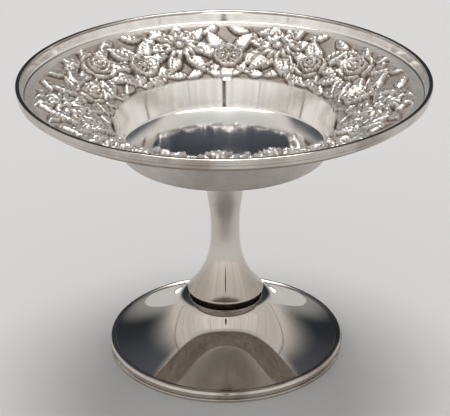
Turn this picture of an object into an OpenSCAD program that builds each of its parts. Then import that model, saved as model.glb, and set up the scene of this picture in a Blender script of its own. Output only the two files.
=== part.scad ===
// Footed compote bowl in polished silver: a decorated bowl on a waisted stem and a flared foot.
// Millimetres, +Z up, with the origin at the centre of the foot's underside.

/* [Rim] */
// Outside diameter over the rim wire
rim_d = 152.4; // [140:0.2:170]
// Height of the rim wire
rim_wire_h = 3.6; // [3.2:0.1:3.6]
// Width of the rim wire across its top bead
rim_wire_w = 1.8; // [1.6:0.1:2.2]
// Height of the wire's metal above the bowl's turned-up edge
rim_cap = 1.1; // [1:0.1:1.3]
// Depth of the two thin grooves round the wire's outer face
rim_groove = 0.3; // [0.2:0.05:0.35]

/* [Bowl] */
// Thickness of the bowl's sheet
bowl_sheet = 0.7; // [0.5:0.05:0.9]
// Height of the turned-up edge above the plain border
turnup_h = 3.5; // [3.5:0.1:5]
// How far the turned-up edge leans out over its height
turnup_lean = 0.8; // [0.5:0.05:1.2]
// Inside radius where the turned-up edge meets the border
turnup_round = 1.2; // [0.8:0.1:1.2]
// Width of the plain border inside the turned-up edge
border_w = 5.6; // [4:0.1:8]
// Inside radius where the border meets the decorated flange
border_round = 5; // [3:0.2:6]
// Fall of the decorated flange from the border to the well
flange_drop = 11.7; // [9:0.1:14]
// Diameter of the well at its edge
well_d = 84.4; // [78:0.2:90]
// Rounding of the well's edge
well_round = 1.8; // [1.2:0.1:2.4]
// Depth of the well's wall from its edge to its foot
wall_h = 12.4; // [10:0.1:14]
// How far the well's wall leans in from its edge to its foot
wall_lean = 2.8; // [2:0.1:4]
// Inside radius where the wall meets the dished floor
wall_round = 1.2; // [0.8:0.1:1.6]
// Fall of the dished floor from the wall to its flat middle
dish_depth = 4.5; // [3:0.1:6]

/* [Flower border] */
// Number of flowers round the flange
flower_count = 18; // [12:6:18]
// Radius of the flowers near the rim
high_flower_r = 7.4; // [6.4:0.1:7.8]
// Radius of the flowers near the well
low_flower_r = 6.4; // [5.6:0.1:6.8]
// Height of the flowers above the flange
flower_h = 2.2; // [1.6:0.1:2.6]
// Length of the leaves
leaf_l = 10.6; // [9:0.2:12]
// Width of the leaves
leaf_w = 5.8; // [4:0.1:6.6]
// Height of the leaves above the flange
leaf_h = 1.3; // [0.7:0.1:1.5]

/* [Stem] */
// Height of the stem from its lip's underside to its top
stem_h = 53.3; // [48:0.1:66]
// Diameter of the stem at its top
stem_top_d = 16.4; // [15:0.1:18]
// Diameter of the stem at its waist
stem_waist_d = 11; // [10:0.1:12.4]
// Diameter of the stem over its lip
stem_lip_d = 29.5; // [28:0.1:31]
// Height of the rolled lip
lip_h = 1.3; // [1.2:0.1:1.6]
// Thickness of the stem's sheet
stem_sheet = 0.8; // [0.6:0.05:1]
// Diameter of the hole left by the turned-in lower edge
turnin_d = 23.2; // [22:0.1:23.8]

/* [Foot] */
// Outside diameter over the foot's wire
foot_d = 92.1; // [84:0.1:104]
// Height of the foot's flat top
foot_h = 22.3; // [20:0.1:26]
// Diameter where the foot's slope meets its rounded shoulder
shoulder_d = 35.9; // [34:0.1:37]
// Fall of the rounded shoulder from the flat top
shoulder_drop = 1; // [0.8:0.1:1.3]
// Thickness of the foot's sheet
foot_sheet = 0.8; // [0.6:0.05:1]
// Width of the foot's wire outside the skirt
foot_wire_w = 2.55; // [2.3:0.05:2.8]
// Height of the foot's skirt
skirt_h = 4.25; // [3.9:0.05:4.6]
// Radius of the foot wire's bead
foot_bead_r = 1.6; // [1.5:0.05:1.7]
// Height of the thin fillet under the bead
foot_fillet_h = 1.2; // [0.9:0.05:1.3]

/* [Seam joint] */
// Height of the dark seam between the foot's top and the stem's lip
seam_h = 1.7; // [1.4:0.1:2.4]
// Diameter of the locating collar in the seam
collar_d = 24.8; // [24.6:0.1:25.6]
// Diameter of the foot's centre hole
foot_hole_d = 19; // [17:0.1:20]
// Height of the collar's spigot inside the stem
collar_spigot_h = 1.4; // [1.2:0.1:1.8]
// Clearance between a spigot and its hole
spigot_gap = 0.2; // [0.1:0.05:0.3]

/* [Tie stud] */
// Diameter of the tie stud
stud_d = 4; // [3:0.1:5]
// Depth of the stud's thread
thread_depth = 0.3; // [0.2:0.05:0.35]
// Pitch of the stud's thread
thread_pitch = 0.7; // [0.6:0.05:0.9]
// Length of the stud below the nut
stud_end = 2; // [1.5:0.1:3]
// Clearance round the stud where it passes through a piece
stud_gap = 0.25; // [0.15:0.05:0.4]
// Diameter of the washer
washer_d = 24; // [21:0.1:25]
// Thickness of the washer
washer_t = 1.2; // [0.8:0.1:1.6]
// Width of the nut across its flats
nut_af = 7; // [6.4:0.1:9]
// Height of the nut
nut_h = 3.2; // [2.4:0.1:4]
// Chamfer on the nut's corners and the stud's end
nut_chamfer = 0.4; // [0.2:0.05:0.5]

/* [Bowl seat] */
// Diameter of the disc under the bowl
seat_d = 20; // [18.4:0.1:26]
// Thickness of the disc under the bowl
seat_t = 1.1; // [0.8:0.1:1.6]
// Length of the seat's spigot in the stem's top
seat_spigot_h = 3; // [2:0.1:4]

/* [Hidden] */
$fn = 96;
// Points along each rounded corner and each long curve
corner_steps = 8;
curve_steps = 28;
// Overrun of every cut past the face that it opens
overrun = 1;

// Heights of the stack, from the foot up
lip_z = foot_h + seam_h;
stem_top_z = lip_z + stem_h;
floor_z = stem_top_z + seat_t + bowl_sheet;
wall_foot_z = floor_z + dish_depth;
well_z = wall_foot_z + wall_h;
border_z = well_z + flange_drop;
turnup_z = border_z + turnup_h;
rim_top_z = turnup_z + rim_cap;
rim_low_z = rim_top_z - rim_wire_h;

// Radii of the bowl
rim_r = rim_d / 2;
turnup_r = rim_r - rim_wire_w;
border_out_r = turnup_r - turnup_lean;
border_in_r = border_out_r - border_w;
well_r = well_d / 2;
wall_foot_r = well_r - wall_lean;
// The floor is flat over the seat, and its dish bends up at a share of the way from there to the wall
flat_r = seat_d / 2;
dish_bend_share = 0.48;
dish_bend_r = flat_r + (wall_foot_r - flat_r) * dish_bend_share;
dish_round = (dish_bend_r - flat_r) / tan(atan2(dish_depth, wall_foot_r - dish_bend_r) / 2);

// Slope of the flange, and the depth to which each raised form is rooted in the sheet
flange_slope = atan2(flange_drop, border_in_r - well_r);
flange_l = norm([border_in_r - well_r, flange_drop]);
petal_root = bowl_sheet * 0.45;
leaf_root = bowl_sheet * 0.35;

// Shares of the flange's length up which the high and the low flowers stand
high_share = 0.62;
low_share = 0.36;
// Rings of caps in a rose, a daisy and a blossom: how many, share of the flower's radius out to
// their centres, share of it that is their own radius, and share of the flower's height that they reach
rose_shares = [[5, 0.58, 0.44, 0.72], [1, 0, 0.46, 1]];
daisy_shares = [[1, 0, 0.96, 0.7], [1, 0, 0.34, 1]];
blossom_shares = [[4, 0.5, 0.52, 0.76], [1, 0, 0.3, 1]];
// Order of the flowers, alike both ways round
flower_order = [rose_shares, daisy_shares, blossom_shares, rose_shares, blossom_shares, daisy_shares];
// Headings of a flower's two leaves, from along the rim, and share of its radius at which they start
leaf_headings = [60, 120];
leaf_start_share = 0.85;

// Shares that shape the rim wire's face: heights of its grooves and the width of one groove
rim_groove_shares = [0.37, 0.68];
rim_groove_share = 0.04;
// Shares of the wire's width that its lower and middle bands stand back from its outside
rim_band_shares = [0.28, 0.1];

// Shares of the stem's height and radii that steer its two curves
waist_share = 0.481;
upper_reach_shares = [0.353, 0.219];
upper_neck_share = 0.43;
lower_reach_share = 0.46;
lower_flare_shares = [0.42, 0.24];
// Share of the lip's height that is rounded off at each edge
lip_round_share = 0.42;

// Shares of the foot's run and rise from the skirt to the curve's low bend, and from the shoulder to its high one
foot_low_shares = [0.203, 0.087];
foot_high_shares = [0.132, 0.493];
// Reach of the shoulder's rounding over the flat top, as a share of its reach down the slope
shoulder_top_share = 1.43;
// Share of the bead that the thin fillet stands back, and share of its height that is rounded off
fillet_back_share = 0.1;
fillet_round_share = 0.25;

// Unit vector, left-hand normal and mitred offset of a path of points
function unit(v) = v / norm(v);
function left_of(a, b) = let (d = unit(b - a)) [-d.y, d.x];
function miter(path, i) =
    let (last = len(path) - 1,
         before = left_of(path[max(i - 1, 0)], path[max(i, 1)]),
         after = left_of(path[min(i, last - 1)], path[min(i + 1, last)]))
    (before + after) / (1 + before * after);
function offset_path(path, reach) = [for (i = [0 : len(path) - 1]) path[i] + reach * miter(path, i)];
function reversed(path) = [for (i = [len(path) - 1 : -1 : 0]) path[i]];

// Arc about a centre from one angle to another
function arc(centre, r, from, to, steps = corner_steps) =
    [for (k = [0 : steps]) centre + r * [cos(from + (to - from) * k / steps), sin(from + (to - from) * k / steps)]];

// Corner b of the path a, b, c rounded to radius r
function rounded(a, b, c, r) =
    let (u = unit(a - b), v = unit(c - b), half = acos(u * v) / 2,
         centre = b + unit(u + v) * r / sin(half),
         start = b + u * r / tan(half) - centre, stop = b + v * r / tan(half) - centre,
         turn = atan2(start.x * stop.y - start.y * stop.x, start * stop),
         from = atan2(start.y, start.x))
    arc(centre, r, from, from + turn);

// Cubic and quadratic curves through their end points
function cubic(p, steps = curve_steps) =
    [for (k = [0 : steps]) let (t = k / steps, s = 1 - t)
        s * s * s * p[0] + 3 * s * s * t * p[1] + 3 * s * t * t * p[2] + t * t * t * p[3]];
function quadratic(a, b, c, steps = curve_steps) =
    [for (k = [0 : steps]) let (t = k / steps, s = 1 - t) s * s * a + 2 * s * t * b + t * t * c];
function without_first(path) = [for (i = [1 : len(path) - 1]) path[i]];

// Point at height z on the line through a and b
function at_height(a, b, z) = a + (b - a) * (z - a.y) / (b.y - a.y);

module turned(outline) {
    rotate_extrude() polygon(outline);
}

module disc(r, z, h) {
    translate([0, 0, z]) cylinder(r = r, h = h);
}

// Inner face of the bowl's sheet, from the axis out and up to the turned-up edge
bowl_corners = [[0, floor_z], [dish_bend_r, floor_z], [wall_foot_r, wall_foot_z], [well_r, well_z],
                [border_in_r, border_z], [border_out_r, border_z], [turnup_r, turnup_z]];
bowl_rounds = [0, dish_round, wall_round, well_round, border_round, turnup_round];
bowl_inside = concat(
    [bowl_corners[0]],
    [for (i = [1 : len(bowl_corners) - 2])
        each rounded(bowl_corners[i - 1], bowl_corners[i], bowl_corners[i + 1], bowl_rounds[i])],
    [bowl_corners[len(bowl_corners) - 1]]);
bowl_outside = offset_path(bowl_inside, -bowl_sheet);
turnup_outer_top = bowl_outside[len(bowl_outside) - 1];
turnup_outer_low = bowl_outside[len(bowl_outside) - 2];

// A place up the flange, with X up the slope, Y round the rim and Z out of the sheet
module on_flange(turn, up) {
    rotate([0, 0, turn])
        translate([well_r + up * cos(flange_slope), 0, well_z + up * sin(flange_slope)])
            rotate([0, -flange_slope, 0]) children();
}

// Low round cap of radius r and height h, rooted in the sheet
module cap(r, h) {
    ball_r = (r * r + h * h) / (2 * h);
    intersection() {
        translate([0, 0, h - ball_r]) sphere(r = ball_r);
        translate([0, 0, -petal_root]) cylinder(r = r * 2, h = petal_root + h * 2);
    }
}

// Leaf with a keel: where two balls cross, rooted in the sheet
module leaf() {
    half_l = leaf_l / 2;
    half_w = leaf_w / 2;
    keel_r = (half_l * half_l + leaf_h * leaf_h) / (2 * leaf_h);
    apart = (half_l * half_l - half_w * half_w) / (2 * half_w);
    ball_r = norm([keel_r, apart]);
    intersection() {
        translate([0, apart, leaf_h - keel_r]) sphere(r = ball_r);
        translate([0, -apart, leaf_h - keel_r]) sphere(r = ball_r);
        translate([0, 0, -leaf_root]) cylinder(r = half_l + leaf_h, h = leaf_root + leaf_h * 2);
    }
}

// Flower of radius r: rings of caps
module flower(rings, r) {
    for (ring = rings, k = [0 : ring[0] - 1])
        rotate([0, 0, 360 * k / ring[0]])
            translate([r * ring[1], 0, 0]) cap(r * ring[2], flower_h * ring[3]);
}

// Flowers near the rim and near the well in turn, each with two leaves that point between its neighbours
module flower_border() {
    for (k = [0 : flower_count - 1]) {
        high = k % 2 == 1;
        turn = 360 * k / flower_count;
        up = flange_l * (high ? high_share : low_share);
        r = high ? high_flower_r : low_flower_r;
        out = r * leaf_start_share + leaf_l / 2;
        on_flange(turn, up) flower(flower_order[k % len(flower_order)], r);
        for (heading = leaf_headings)
            on_flange(turn, up)
                rotate([0, 0, high ? 90 + heading : 90 - heading])
                    translate([out, 0, 0]) leaf();
    }
}

module bowl() {
    color("silver") {
        turned(concat(bowl_inside, reversed(bowl_outside)));
        flower_border();
    }
}

// Ring with a bead over two grooved bands, hooked over the turned-up edge
module rim_wire() {
    bead_r = rim_wire_w / 2;
    bead_centre = [rim_r - bead_r, rim_top_z - bead_r];
    groove_half = rim_wire_h * rim_groove_share;
    groove_z = [for (s = rim_groove_shares) rim_low_z + rim_wire_h * s];
    low_r = rim_r - rim_wire_w * rim_band_shares[0];
    mid_r = rim_r - rim_wire_w * rim_band_shares[1];
    low_round = groove_half * 2;
    bead_low = asin((groove_z[1] + groove_half - bead_centre.y) / bead_r);
    inside_low = at_height(turnup_outer_low, turnup_outer_top, rim_low_z);
    color("gainsboro") turned(concat(
        [inside_low, [low_r - low_round, rim_low_z], [low_r, rim_low_z + low_round],
         [low_r, groove_z[0] - groove_half], [low_r - rim_groove, groove_z[0]],
         [mid_r, groove_z[0] + groove_half * 2], [mid_r, groove_z[1] - groove_half],
         [mid_r - rim_groove, groove_z[1]]],
        arc(bead_centre, bead_r, bead_low, 180, 2 * corner_steps),
        [[turnup_r, turnup_z], turnup_outer_top]));
}

// Disc under the bowl, with the spigot that centres the stem's top
module bowl_seat() {
    color("darkgray") difference() {
        union() {
            disc(seat_d / 2, stem_top_z, seat_t);
            disc(stem_top_d / 2 - stem_sheet - spigot_gap * 2, stem_top_z - seat_spigot_h,
                 seat_spigot_h + seat_t);
        }
        disc(stud_d / 2, stem_top_z - seat_spigot_h - overrun, seat_spigot_h + seat_t + overrun * 2);
    }
}

// Outer face of the stem, from its top down through the waist to the lip
waist_z = lip_z + stem_h * waist_share;
stem_top = [stem_top_d / 2, stem_top_z];
waist = [stem_waist_d / 2, waist_z];
lip_start = [stem_lip_d / 2 - lip_h * lip_round_share * 0.5, lip_z + lip_h * (1 - lip_round_share * 0.5)];
stem_side = concat(
    cubic([stem_top,
           [waist.x + (stem_top.x - waist.x) * upper_neck_share, stem_top.y - stem_h * upper_reach_shares[0]],
           [waist.x, waist.y + stem_h * upper_reach_shares[1]],
           waist]),
    without_first(cubic([waist,
           [waist.x, waist.y - (waist.y - lip_z) * lower_reach_share],
           [waist.x + (lip_start.x - waist.x) * lower_flare_shares[0],
            lip_z + (waist.y - lip_z) * lower_flare_shares[1]],
           lip_start])));

// Hollow waisted stem with a rolled lip and a turned-in lower edge
module stem() {
    lip_r = stem_lip_d / 2;
    lip_round = lip_h * lip_round_share;
    shelf_z = lip_z + stem_sheet;
    inside = [for (p = offset_path(stem_side, -stem_sheet)) if (p.y > shelf_z) p];
    inside_top = at_height(inside[0], inside[1], stem_top_z);
    inside_low = [inside[len(inside) - 1].x, shelf_z];
    color("silver") turned(concat(
        stem_side,
        arc([lip_r - lip_round, lip_z + lip_round], lip_round, 30, -90),
        [[turnin_d / 2, lip_z], [turnin_d / 2, shelf_z], inside_low],
        reversed(without_first(inside)),
        [inside_top]));
}

// Turned ring in the seam: a shoulder between the lip and the foot, with a spigot into each
module locating_collar() {
    color("dimgray") difference() {
        union() {
            disc(collar_d / 2, foot_h, seam_h);
            disc(turnin_d / 2 - spigot_gap, foot_h, seam_h + collar_spigot_h);
            disc(foot_hole_d / 2 - spigot_gap, foot_h - foot_sheet, foot_sheet + seam_h);
        }
        disc(stud_d / 2 + stud_gap, foot_h - foot_sheet - overrun,
             foot_sheet + seam_h + collar_spigot_h + overrun * 2);
    }
}

// Outer face of the foot, from the skirt's lower edge up to the centre hole
skirt_r = foot_d / 2 - foot_wire_w;
skirt_top = [skirt_r, skirt_h];
shoulder = [shoulder_d / 2, foot_h - shoulder_drop];
foot_span = [shoulder.x - skirt_top.x, shoulder.y - skirt_top.y];
foot_low_bend = skirt_top + [foot_span.x * foot_low_shares[0], foot_span.y * foot_low_shares[1]];
foot_high_bend = shoulder - [foot_span.x * foot_high_shares[0], foot_span.y * foot_high_shares[1]];
shoulder_bend = at_height(foot_high_bend, shoulder, foot_h);
shoulder_end = shoulder_bend - [norm(shoulder_bend - shoulder) * shoulder_top_share, 0];
foot_side = concat(
    cubic([skirt_top, foot_low_bend, foot_high_bend, shoulder]),
    without_first(quadratic(shoulder, shoulder_bend, shoulder_end, corner_steps)));

// Hollow concave foot with a straight skirt and a flat top round its centre hole
module foot() {
    inside = [for (p = offset_path(foot_side, foot_sheet)) if (p.x < skirt_r - foot_sheet) p];
    inside_low = [skirt_r - foot_sheet, at_height(inside[1], inside[0], 0).y];
    skirt_inside = inside[0] + (inside[0] - inside[1]) * (skirt_r - foot_sheet - inside[0].x)
                   / (inside[0].x - inside[1].x);
    color("silver") turned(concat(
        [[skirt_r, 0]],
        foot_side,
        [[foot_hole_d / 2, foot_h], [foot_hole_d / 2, foot_h - foot_sheet]],
        reversed(inside),
        [skirt_inside, [skirt_r - foot_sheet, 0]]));
}

// Applied wire round the skirt: a round bead over a thin fillet
module foot_wire() {
    bead_centre = [foot_d / 2 - foot_bead_r, skirt_h - sqrt(pow(foot_bead_r, 2)
                   - pow(foot_d / 2 - foot_bead_r - skirt_r, 2))];
    fillet_r = foot_d / 2 - foot_bead_r * fillet_back_share;
    fillet_round = foot_fillet_h * fillet_round_share;
    bead_top = 180 - acos((bead_centre.x - skirt_r) / foot_bead_r);
    bead_low = -asin((bead_centre.y - foot_fillet_h - fillet_round) / foot_bead_r);
    color("gainsboro") turned(concat(
        [[skirt_r, 0], [fillet_r - fillet_round, 0], [fillet_r, fillet_round],
         [fillet_r, foot_fillet_h - fillet_round], [fillet_r - fillet_round, foot_fillet_h]],
        arc(bead_centre, foot_bead_r, bead_low, bead_top, 2 * corner_steps)));
}

// Heights of the fastening under the foot's top
washer_z = foot_h - foot_sheet - washer_t;
nut_z = washer_z - nut_h;
stud_z = nut_z - stud_end;

// Rod from the seat down the stem, grooved like a thread below the nut
module tie_stud() {
    stud_r = stud_d / 2;
    turns = floor((stud_end - nut_chamfer) / thread_pitch);
    color("goldenrod") difference() {
        union() {
            disc(stud_r, stud_z + nut_chamfer, floor_z - bowl_sheet - stud_z - nut_chamfer);
            translate([0, 0, stud_z]) cylinder(r1 = stud_r - nut_chamfer, r2 = stud_r, h = nut_chamfer);
        }
        for (k = [0 : turns - 1])
            turned([[stud_r - thread_depth, nut_z - thread_pitch * (k + 0.5)],
                    [stud_r + overrun, nut_z - thread_pitch * (k + 0.5) - (thread_depth + overrun)],
                    [stud_r + overrun, nut_z - thread_pitch * (k + 0.5) + (thread_depth + overrun)]]);
    }
}

module stud_washer() {
    color("darkgray") difference() {
        disc(washer_d / 2, washer_z, washer_t);
        disc(stud_d / 2 + stud_gap, washer_z - overrun, washer_t + overrun * 2);
    }
}

// Hexagon nut with its lower corners turned off
module stud_nut() {
    corner_r = nut_af / 2 / cos(30);
    color("goldenrod") difference() {
        translate([0, 0, nut_z]) intersection() {
            cylinder(r = corner_r, h = nut_h, $fn = 6);
            union() {
                cylinder(r1 = corner_r - nut_chamfer * 2, r2 = corner_r, h = nut_chamfer);
                translate([0, 0, nut_chamfer]) cylinder(r = corner_r + overrun, h = nut_h);
            }
        }
        disc(stud_d / 2, nut_z - overrun, nut_h + overrun * 2);
    }
}

rim_wire();
bowl();
bowl_seat();
stem();
locating_collar();
foot();
foot_wire();
tie_stud();
stud_washer();
stud_nut();
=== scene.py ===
import math

import bpy
import numpy as np
from mathutils import Matrix, Vector


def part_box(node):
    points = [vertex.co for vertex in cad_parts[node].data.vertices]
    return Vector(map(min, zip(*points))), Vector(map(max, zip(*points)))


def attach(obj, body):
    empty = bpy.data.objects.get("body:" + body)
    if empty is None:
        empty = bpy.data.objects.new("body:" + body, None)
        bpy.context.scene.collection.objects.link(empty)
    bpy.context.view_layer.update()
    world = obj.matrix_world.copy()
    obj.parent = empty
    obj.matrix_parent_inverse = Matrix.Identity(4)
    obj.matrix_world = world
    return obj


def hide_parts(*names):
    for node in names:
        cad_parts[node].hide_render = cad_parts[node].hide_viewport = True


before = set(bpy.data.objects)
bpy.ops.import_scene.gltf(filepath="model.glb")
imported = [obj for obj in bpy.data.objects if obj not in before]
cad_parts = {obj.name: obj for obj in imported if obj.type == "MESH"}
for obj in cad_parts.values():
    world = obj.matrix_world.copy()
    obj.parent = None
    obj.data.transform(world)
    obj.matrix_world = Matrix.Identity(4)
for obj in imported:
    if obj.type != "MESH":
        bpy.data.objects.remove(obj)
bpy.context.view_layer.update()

# Looks of a silver compote: a chased floral bowl on a plain polished stem and foot.
# Outlines are worked in millimetres, as (radius, height) about the upright axis.
MM = 0.001
BODY = "root"


def box_mm(node):
    """Lowest and highest corner of a CAD node in millimetres."""
    low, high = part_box(node)
    return Vector(low) / MM, Vector(high) / MM


# Places that come from the frame
rim_low, rim_high = box_mm("rim_wire")
bowl_low, bowl_high = box_mm("bowl")
stem_low, stem_high = box_mm("stem")
foot_high = box_mm("foot")[1]
foot_wire_high = box_mm("foot_wire")[1]

# Sizes of the bowl. Its dished floor has the slopes, in degrees, at the radii given before them.
SHEET = 0.7
LEAST_SHEET = 0.3
RIM_WIRE_W = 1.8
TURNUP_H = 3.5
TURNUP_LEAN = 0.8
TURNUP_ROUND = 1.2
BORDER_W = 5.6
BORDER_ROUND = 5.0
FLANGE_DROP = 11.7
WELL_R = 42.2
WELL_ROUND = 1.8
WALL_LEAN = 3.8
WALL_ROUND = 1.2
DISH_DEPTH = 5.0
DISH_RADII = (0, 12, 20, 34, 40)
DISH_SLOPES = (0, 5, 7.6, 12, 17)

# Sizes and places of the flowers and main leaves of the bowl's border. The leaves are seen a little larger
# than they are in CAD.
FLOWERS = 18
HIGH_FLOWER_R = 7.4
LOW_FLOWER_R = 6.4
HIGH_SHARE = 0.62
LOW_SHARE = 0.36
LEAF_L = 10.6
LEAF_W = 5.8
LEAF_L_GROWTH = 1.04
LEAF_W_GROWTH = 1.1
LEAF_HEADINGS = (60, 120)
LEAF_START_SHARE = 0.85
GARLAND_TURN = math.radians(-32)

# Sizes of the rim wire
GROOVE_SHARES = (0.37, 0.68)
GROOVE_HALF_SHARE = 0.04
GROOVE_LIP_SHARE = 1.5
LOW_GROOVE_TURN = 60
MID_GROOVE_TURN = 50
BAND_SHARES = (0.28, 0.1)
RIM_GROOVE = 0.3
BEAD_SQUARENESS = 0.6

# Sizes of the stem
STEM_SHEET = 0.8
WAIST_D = 11.0
WAIST_SHARE = 0.481
UPPER_REACH_SHARES = (0.353, 0.219)
UPPER_NECK_SHARE = 0.43
LOWER_REACH_SHARE = 0.46
LOWER_FLARE_SHARES = (0.42, 0.24)
STEM_TOP_D = 16.4
LIP_H = 1.3
LIP_ROUND_SHARE = 0.42
LIP_START_SHARE = 0.5
LIP_TURN = 30
TURNIN_D = 23.2

# Sizes of the foot and its wire
FOOT_SHEET = 0.8
SHOULDER_D = 35.9
SHOULDER_DROP = 1.0
SHOULDER_ROUND = 2.6
SHOULDER_TOP_SHARE = 1.15
SKIRT_H = 4.25
FOOT_HOLE_D = 19.0
FOOT_LOW_SHARES = (0.203, 0.087)
FOOT_HIGH_SHARES = (0.132, 0.493)
BEAD_R = 1.6
FILLET_H = 1.2
FILLET_BACK_SHARE = 0.1
FILLET_ROUND_SHARE = 0.25

# Fineness of the meshes: segments round the axis, row spacing, steps and points of curves, and the angles
# in degrees over which edges stay crisp
RELIEF_SEGMENTS = 960
PLAIN_SEGMENTS = 480
STEM_SEGMENTS = 240
RELIEF_STEP = 0.48
DISH_POINTS = 160
NORMAL_POINTS = 6000
LEAST_GAP = 0.05
ARC_STEPS = 80
GROOVE_STEPS = 4
SOFT_STEPS = 6
LIP_STEPS = 10
SHOULDER_STEPS = 24
RIM_BEAD_STEPS = 36
FOOT_BEAD_STEPS = 40
STEM_STEPS = 56
FOOT_STEPS = 120
SHARP = 35
RIM_SHARP = 25
BOWL_SHARP = 60


# Curves
def point(x, z):
    return np.array([x, z], float)


def between(a, b, share):
    """The value so large a share of the way from a to b."""
    return a + (b - a) * share


def cubic(a, b, c, d, steps):
    t = np.linspace(0, 1, steps + 1)[:, None]
    s = 1 - t
    return s**3 * a + 3 * s * s * t * b + 3 * s * t * t * c + t**3 * d


def quadratic(a, b, c, steps):
    t = np.linspace(0, 1, steps + 1)[:, None]
    s = 1 - t
    return s * s * a + 2 * s * t * b + t * t * c


def arc(centre, r, start_deg, stop_deg, steps):
    turn = np.radians(np.linspace(start_deg, stop_deg, steps + 1))
    return centre + r * np.stack([np.cos(turn), np.sin(turn)], 1)


def unit(v):
    return v / np.linalg.norm(v)


def rounded(a, b, c, r, steps):
    """Corner b of the path a, b, c, rounded to radius r."""
    u, v = unit(a - b), unit(c - b)
    half = math.acos(float(u @ v)) / 2
    centre = b + unit(u + v) * r / math.sin(half)
    start = b + u * r / math.tan(half) - centre
    stop = b + v * r / math.tan(half) - centre
    turn = math.degrees(math.atan2(start[0] * stop[1] - start[1] * stop[0], float(start @ stop)))
    first = math.degrees(math.atan2(start[1], start[0]))
    return arc(centre, r, first, first + turn, steps)


def left_normals(path):
    """Unit normals to the left of a path's points."""
    ahead = np.gradient(path, axis=0)
    ahead /= np.linalg.norm(ahead, axis=1)[:, None]
    return np.stack([-ahead[:, 1], ahead[:, 0]], 1)


def at_height(a, b, z):
    """The point at height z on the line through a and b."""
    return between(a, b, (z - a[1]) / (b[1] - a[1]))


def smooth(x):
    """0 to 1, level at both ends."""
    x = np.clip(x, 0, 1)
    return x * x * (3 - 2 * x)


def hump(x, width):
    """1 where x is 0, and falling away over width on both sides."""
    return np.exp(-(x / width) ** 2)


def crown(d, flat=0.0):
    """Height of a round top, 1 at its middle, at a share d of its radius. flat lifts its edge."""
    return np.sqrt(np.clip(1 - (1 - flat) * d * d, 0, 1))


# Meshes
def new_piece(name, points, faces, sharp_deg=SHARP):
    """A smooth-shaded mesh object whose points are in metres; edges over sharp_deg stay crisp."""
    mesh = bpy.data.meshes.new(name)
    mesh.from_pydata(points.tolist(), [], faces)
    mesh.shade_smooth()
    mesh.set_sharp_from_angle(angle=math.radians(sharp_deg))
    piece = bpy.data.objects.new(name, mesh)
    bpy.context.scene.collection.objects.link(piece)
    return piece


def ring_faces(a, b, count):
    """Quads between two rings of count points, whose first points have the numbers a and b."""
    j = np.arange(count)
    k = (j + 1) % count
    return np.stack([a + j, a + k, b + k, b + j], 1).tolist()


def uneven_ring_faces(fine, coarse, count, flip):
    """Triangles between a ring of count points and one of twice as many, whose first points have the
    numbers coarse and fine."""
    j = np.arange(count)
    f0, f1, f2 = fine + 2 * j, fine + 2 * j + 1, fine + (2 * j + 2) % (2 * count)
    c0, c1 = coarse + j, coarse + (j + 1) % count
    faces = []
    for triple in ((c0, f1, f0), (c0, c1, f1), (c1, f2, f1)):
        faces += np.stack(triple[::-1] if flip else triple, 1).tolist()
    return faces


def fan_faces(middle, a, b):
    """Triangles from the point numbered middle to the points a of a ring and their neighbours b."""
    return np.stack([np.full(len(a), middle), a, b], 1).tolist()


def turned(name, outline, segments, sharp_deg=SHARP):
    """A closed outline turned about the axis."""
    turn = np.linspace(0, 2 * math.pi, segments, endpoint=False)
    x = outline[:, :1] * np.cos(turn)
    y = outline[:, :1] * np.sin(turn)
    z = np.repeat(outline[:, 1:], segments, 1)
    points = np.stack([x, y, z], 2).reshape(-1, 3) * MM
    faces = []
    for i in range(len(outline)):
        faces += ring_faces(segments * i, segments * ((i + 1) % len(outline)), segments)
    return new_piece(name, points, faces, sharp_deg)


# The bowl's inner face, from the axis out and up to the turned-up edge
floor_z = bowl_low.z + SHEET
turnup_z = bowl_high.z
border_z = turnup_z - TURNUP_H
well_z = border_z - FLANGE_DROP
turnup_r = rim_high.x - RIM_WIRE_W
border_out_r = turnup_r - TURNUP_LEAN
border_in_r = border_out_r - BORDER_W
wall_foot_r = WELL_R - WALL_LEAN
wall_foot_z = floor_z + DISH_DEPTH
dish_r = np.linspace(0, wall_foot_r, DISH_POINTS)
dish_rise = np.cumsum(np.tan(np.radians(np.interp(dish_r, DISH_RADII, DISH_SLOPES))))
dish = np.stack([dish_r, floor_z + DISH_DEPTH * dish_rise / dish_rise[-1]], 1)
bowl_corners = [dish[-2], point(wall_foot_r, wall_foot_z), point(WELL_R, well_z),
                point(border_in_r, border_z), point(border_out_r, border_z), point(turnup_r, turnup_z)]
bowl_rounds = [WALL_ROUND, WELL_ROUND, BORDER_ROUND, TURNUP_ROUND]
bowl_arcs = [rounded(*bowl_corners[i:i + 3], r, ARC_STEPS) for i, r in enumerate(bowl_rounds)]
dish = dish[dish[:, 0] < bowl_arcs[0][0, 0] - LEAST_GAP]
bowl_path = np.concatenate([dish] + bowl_arcs + [bowl_corners[-1:]])
path_s = np.concatenate([[0], np.cumsum(np.linalg.norm(np.diff(bowl_path, axis=0), axis=1))])


def path_at(s):
    """The point, or points, of the inner face at distances s along it."""
    return np.stack([np.interp(s, path_s, bowl_path[:, k]) for k in (0, 1)], -1)


def s_of_corner(i, end):
    """Distance along the path to the start (0) or the end (1) of rounded corner i."""
    return path_s[len(dish) + i * (ARC_STEPS + 1) + end * ARC_STEPS]


dish_s = s_of_corner(0, 0)
wall_s = s_of_corner(0, 1)
edge_s = (s_of_corner(1, 0) + s_of_corner(1, 1)) / 2
flange_start_s = s_of_corner(1, 1)
border_s = (s_of_corner(2, 0) + s_of_corner(2, 1)) / 2
rise_s = s_of_corner(3, 0)
top_s = path_s[-1]
flange_mid = (edge_s + border_s) / 2
flange_length = float(np.linalg.norm(bowl_corners[3] - bowl_corners[2]))
dense_s = np.linspace(0, top_s, NORMAL_POINTS)
dense_normals = left_normals(path_at(dense_s))


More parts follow.
